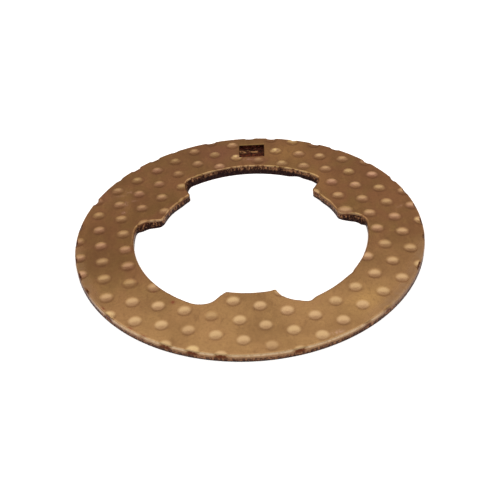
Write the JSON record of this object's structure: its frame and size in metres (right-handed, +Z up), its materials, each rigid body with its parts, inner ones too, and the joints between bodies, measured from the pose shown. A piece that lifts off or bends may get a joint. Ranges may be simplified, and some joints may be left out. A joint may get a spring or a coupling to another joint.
{
  "type": "differential thrust washer",
  "caption": "Flat bronze thrust washer for a differential, with lugs inside its bore, round oil dents all over the running face, rolled blanked edges and a sunk rectangular mark.",
  "frame": {"origin": "centre of the outside diameter on the plain underside, where the washer lies", "axes": "+Z up through the washer, out of the dented running face; +Y away from the camera of the picture, towards the sunk mark; +X to the right"},
  "size_m": [0.08, 0.08, 0.002],
  "materials": {
    "bronze": "satin, tarnished, with bright burnished dents"
  },
  "bodies": {
    "root": {"washer": "bronze"}
  },
  "joints": []
}
